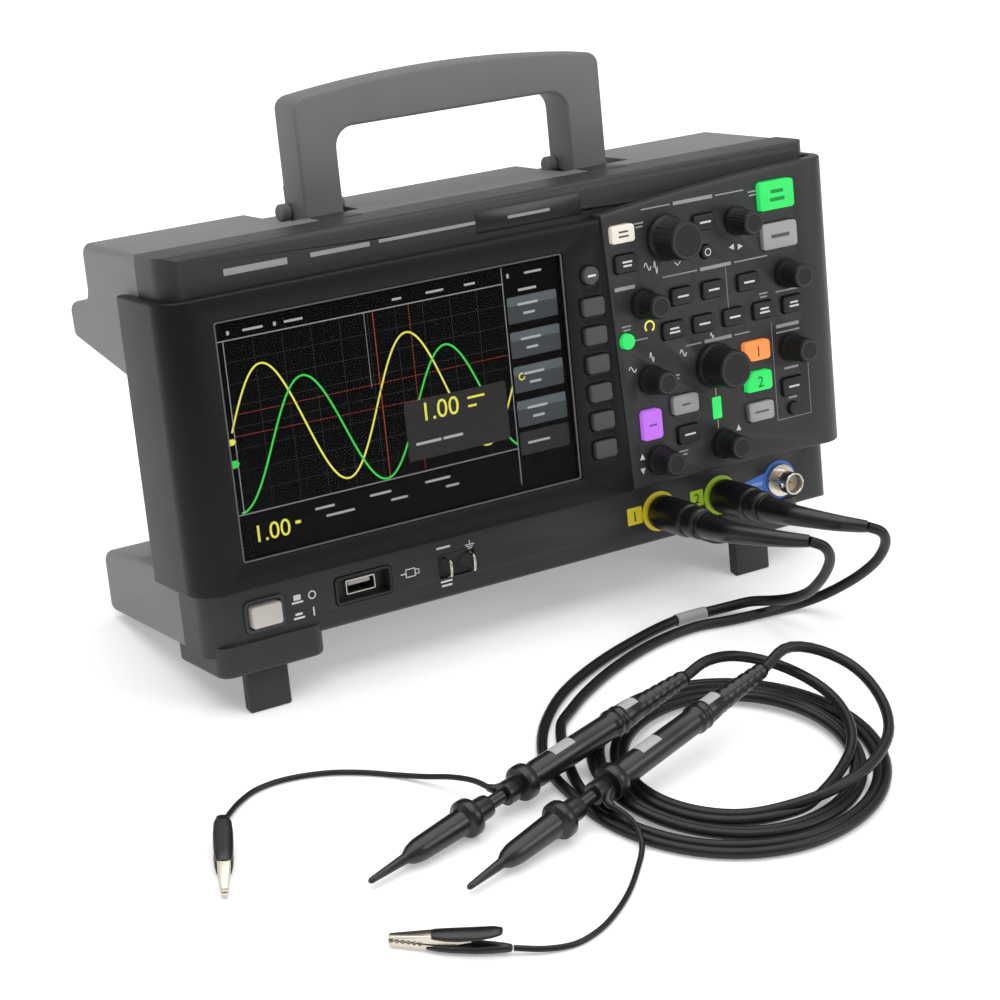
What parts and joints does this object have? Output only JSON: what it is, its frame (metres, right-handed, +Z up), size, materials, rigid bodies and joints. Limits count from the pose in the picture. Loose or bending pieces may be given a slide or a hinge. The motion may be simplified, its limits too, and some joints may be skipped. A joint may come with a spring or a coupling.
{
  "type": "bench oscilloscope",
  "caption": "Bench oscilloscope with a colour display, control knobs, folding carry handle and tilt legs, its passive probes plugged in and coiled in front.",
  "frame": {"origin": "middle of the instrument's footprint box, on the bench it stands on", "axes": "+X to the right seen from the front, +Y from front to back, +Z up"},
  "size_m": [0.3612, 0.3185, 0.221],
  "materials": {
    "case_grey": "fine textured grey moulding",
    "frame_charcoal": "fine textured charcoal moulding",
    "bezel_black": "satin black moulding",
    "screen_window": "clear coated window",
    "lcd": "dark display with lit traces",
    "handle_grey": "fine textured grey moulding",
    "hinge_black": "satin black moulding",
    "key_mat": "silicone rubber keys",
    "key_dark": "satin grey keys",
    "key_grey": "satin light grey keys",
    "key_white": "satin white keys",
    "key_green": "lit green keys",
    "key_orange": "lit orange key",
    "key_purple": "lit purple key",
    "knob_black": "satin dark knobs with fluted sides",
    "nickel": "nickel plate",
    "board_green": "solder mask",
    "supply_metal": "plain sheet",
    "cable_black": "satin black jacket",
    "probe_black": "satin black moulding"
  },
  "bodies": {
    "chassis": {"rear_case": "case_grey", "front_frame": "frame_charcoal", "control_panel": "frame_charcoal", "display_bezel": "bezel_black", "display_window": "screen_window", "lcd_panel": "lcd", "handle_hinge_left": "hinge_black", "handle_hinge_right": "hinge_black", "mains_inlet": "hinge_black", "menu_keypad": "key_mat", "bnc_channel_1": "nickel", "bnc_channel_2": "nickel", "bnc_external": "nickel", "usb_port": "nickel", "probe_terminals": "nickel", "main_board": "board_green", "power_supply": "supply_metal", "probe_lead_1": "cable_black", "probe_lead_2": "cable_black", "lead_coil": "cable_black", "ground_lead_1": "cable_black", "ground_lead_2": "cable_black", "bnc_plug_1": "probe_black", "bnc_plug_2": "probe_black", "probe_body_1": "probe_black", "probe_body_2": "probe_black", "ground_clip_1": "probe_black", "ground_clip_2": "probe_black"},
    "handle": {"handle": "handle_grey"},
    "tilt_leg_left": {"tilt_leg_left": "frame_charcoal"},
    "tilt_leg_right": {"tilt_leg_right": "frame_charcoal"},
    "horizontal_scale_knob": {"horizontal_scale_knob": "knob_black"},
    "horizontal_position_knob": {"horizontal_position_knob": "knob_black"},
    "cursors_knob": {"cursors_knob": "knob_black"},
    "entry_knob": {"entry_knob": "knob_black"},
    "vertical_scale_knob_1": {"vertical_scale_knob_1": "knob_black"},
    "vertical_scale_knob_2": {"vertical_scale_knob_2": "knob_black"},
    "trigger_level_knob": {"trigger_level_knob": "knob_black"},
    "vertical_position_knob_1": {"vertical_position_knob_1": "knob_black"},
    "vertical_position_knob_2": {"vertical_position_knob_2": "knob_black"},
    "back_key": {"back_key": "key_dark"},
    "softkey_1": {"softkey_1": "key_dark"},
    "softkey_2": {"softkey_2": "key_dark"},
    "softkey_3": {"softkey_3": "key_dark"},
    "softkey_4": {"softkey_4": "key_dark"},
    "softkey_5": {"softkey_5": "key_dark"},
    "softkey_6": {"softkey_6": "key_dark"},
    "run_stop_key": {"run_stop_key": "key_green"},
    "single_key": {"single_key": "key_grey"},
    "auto_scale_key": {"auto_scale_key": "key_white"},
    "channel_1_key": {"channel_1_key": "key_orange"},
    "channel_2_key": {"channel_2_key": "key_green"},
    "external_key": {"external_key": "key_grey"},
    "fft_key": {"fft_key": "key_grey"},
    "math_key": {"math_key": "key_purple"},
    "power_button": {"power_button": "key_white"},
    "hook_sleeve_1": {"hook_sleeve_1": "probe_black"},
    "hook_sleeve_2": {"hook_sleeve_2": "probe_black"},
    "clip_jaw_1": {"clip_jaw_1": "nickel"},
    "clip_jaw_2": {"clip_jaw_2": "nickel"}
  },
  "joints": [
    {"name": "handle_fold", "type": "hinge", "parent": "chassis", "child": "handle", "pos_m": [0, 0.02926, 0.16805], "axis": [-1, 0, 0], "range_deg": [0, 90]},
    {"name": "tilt_leg_left_fold", "type": "hinge", "parent": "chassis", "child": "tilt_leg_left", "pos_m": [-0.12775, -0.05238, 0.02042], "axis": [1, 0, 0], "range_deg": [0, 88]},
    {"name": "tilt_leg_right_fold", "type": "hinge", "parent": "chassis", "child": "tilt_leg_right", "pos_m": [0.10825, -0.05238, 0.02042], "axis": [1, 0, 0], "range_deg": [0, 88]},
    {"name": "horizontal_scale_turn", "type": "hinge", "parent": "chassis", "child": "horizontal_scale_knob", "pos_m": [0.069, -0.03308, 0.15361], "axis": [0, -0.9703, 0.2419], "continuous": true},
    {"name": "horizontal_position_turn", "type": "hinge", "parent": "chassis", "child": "horizontal_position_knob", "pos_m": [0.105, -0.03281, 0.15467], "axis": [0, -0.9703, 0.2419], "continuous": true},
    {"name": "cursors_turn", "type": "hinge", "parent": "chassis", "child": "cursors_knob", "pos_m": [0.129, -0.03923, 0.12896], "axis": [0, -0.9703, 0.2419], "continuous": true},
    {"name": "entry_turn", "type": "hinge", "parent": "chassis", "child": "entry_knob", "pos_m": [0.0555, -0.03923, 0.12896], "axis": [0, -0.9703, 0.2419], "continuous": true},
    {"name": "vertical_scale_1_turn", "type": "hinge", "parent": "chassis", "child": "vertical_scale_knob_1", "pos_m": [0.056, -0.04697, 0.09791], "axis": [0, -0.9703, 0.2419], "continuous": true},
    {"name": "vertical_scale_2_turn", "type": "hinge", "parent": "chassis", "child": "vertical_scale_knob_2", "pos_m": [0.0885, -0.04697, 0.09791], "axis": [0, -0.9703, 0.2419], "continuous": true},
    {"name": "trigger_level_turn", "type": "hinge", "parent": "chassis", "child": "trigger_level_knob", "pos_m": [0.129, -0.04697, 0.09791], "axis": [0, -0.9703, 0.2419], "continuous": true},
    {"name": "vertical_position_1_turn", "type": "hinge", "parent": "chassis", "child": "vertical_position_knob_1", "pos_m": [0.057, -0.05531, 0.06444], "axis": [0, -0.9703, 0.2419], "continuous": true},
    {"name": "vertical_position_2_turn", "type": "hinge", "parent": "chassis", "child": "vertical_position_knob_2", "pos_m": [0.0905, -0.05531, 0.06444], "axis": [0, -0.9703, 0.2419], "continuous": true},
    {"name": "back_key_press", "type": "slide", "parent": "chassis", "child": "back_key", "axis": [0, 0.9703, -0.2419], "range_m": [0, 0.0012], "stiffness_N_per_m": 400, "springref_m": -0.0003},
    {"name": "softkey_1_press", "type": "slide", "parent": "chassis", "child": "softkey_1", "axis": [0, 0.9703, -0.2419], "range_m": [0, 0.0012], "stiffness_N_per_m": 400, "springref_m": -0.0003},
    {"name": "softkey_2_press", "type": "slide", "parent": "chassis", "child": "softkey_2", "axis": [0, 0.9703, -0.2419], "range_m": [0, 0.0012], "stiffness_N_per_m": 400, "springref_m": -0.0003},
    {"name": "softkey_3_press", "type": "slide", "parent": "chassis", "child": "softkey_3", "axis": [0, 0.9703, -0.2419], "range_m": [0, 0.0012], "stiffness_N_per_m": 400, "springref_m": -0.0003},
    {"name": "softkey_4_press", "type": "slide", "parent": "chassis", "child": "softkey_4", "axis": [0, 0.9703, -0.2419], "range_m": [0, 0.0012], "stiffness_N_per_m": 400, "springref_m": -0.0003},
    {"name": "softkey_5_press", "type": "slide", "parent": "chassis", "child": "softkey_5", "axis": [0, 0.9703, -0.2419], "range_m": [0, 0.0012], "stiffness_N_per_m": 400, "springref_m": -0.0003},
    {"name": "softkey_6_press", "type": "slide", "parent": "chassis", "child": "softkey_6", "axis": [0, 0.9703, -0.2419], "range_m": [0, 0.0012], "stiffness_N_per_m": 400, "springref_m": -0.0003},
    {"name": "run_stop_key_press", "type": "slide", "parent": "chassis", "child": "run_stop_key", "axis": [0, 0.9703, -0.2419], "range_m": [0, 0.0012], "stiffness_N_per_m": 400, "springref_m": -0.0003},
    {"name": "single_key_press", "type": "slide", "parent": "chassis", "child": "single_key", "axis": [0, 0.9703, -0.2419], "range_m": [0, 0.0012], "stiffness_N_per_m": 400, "springref_m": -0.0003},
    {"name": "auto_scale_key_press", "type": "slide", "parent": "chassis", "child": "auto_scale_key", "axis": [0, 0.9703, -0.2419], "range_m": [0, 0.0012], "stiffness_N_per_m": 400, "springref_m": -0.0003},
    {"name": "channel_1_key_press", "type": "slide", "parent": "chassis", "child": "channel_1_key", "axis": [0, 0.9703, -0.2419], "range_m": [0, 0.0012], "stiffness_N_per_m": 400, "springref_m": -0.0003},
    {"name": "channel_2_key_press", "type": "slide", "parent": "chassis", "child": "channel_2_key", "axis": [0, 0.9703, -0.2419], "range_m": [0, 0.0012], "stiffness_N_per_m": 400, "springref_m": -0.0003},
    {"name": "external_key_press", "type": "slide", "parent": "chassis", "child": "external_key", "axis": [0, 0.9703, -0.2419], "range_m": [0, 0.0012], "stiffness_N_per_m": 400, "springref_m": -0.0003},
    {"name": "fft_key_press", "type": "slide", "parent": "chassis", "child": "fft_key", "axis": [0, 0.9703, -0.2419], "range_m": [0, 0.0012], "stiffness_N_per_m": 400, "springref_m": -0.0003},
    {"name": "math_key_press", "type": "slide", "parent": "chassis", "child": "math_key", "axis": [0, 0.9703, -0.2419], "range_m": [0, 0.0012], "stiffness_N_per_m": 400, "springref_m": -0.0003},
    {"name": "power_button_press", "type": "slide", "parent": "chassis", "child": "power_button", "axis": [0, 0.9703, -0.2419], "range_m": [0, 0.003], "stiffness_N_per_m": 300, "springref_m": -0.0005},
    {"name": "hook_sleeve_1_pull", "type": "slide", "parent": "chassis", "child": "hook_sleeve_1", "axis": [0.9649, 0.2506, 0.0785], "range_m": [0, 0.007], "stiffness_N_per_m": 300, "springref_m": -0.001},
    {"name": "hook_sleeve_2_pull", "type": "slide", "parent": "chassis", "child": "hook_sleeve_2", "axis": [0.9549, 0.2789, 0.1022], "range_m": [0, 0.007], "stiffness_N_per_m": 300, "springref_m": -0.001},
    {"name": "clip_jaw_1_open", "type": "hinge", "parent": "chassis", "child": "clip_jaw_1", "pos_m": [-0.19118, -0.14455, 0.0035], "axis": [-0.9026, 0.4305, 0], "range_deg": [0, 13], "stiffness_Nm_per_rad": 0.05, "springref_deg": -5.73},
    {"name": "clip_jaw_2_open", "type": "hinge", "parent": "chassis", "child": "clip_jaw_2", "pos_m": [-0.14577, -0.23057, 0.0035], "axis": [0.5807, 0.8141, 0], "range_deg": [0, 13], "stiffness_Nm_per_rad": 0.05, "springref_deg": -5.73}
  ]
}
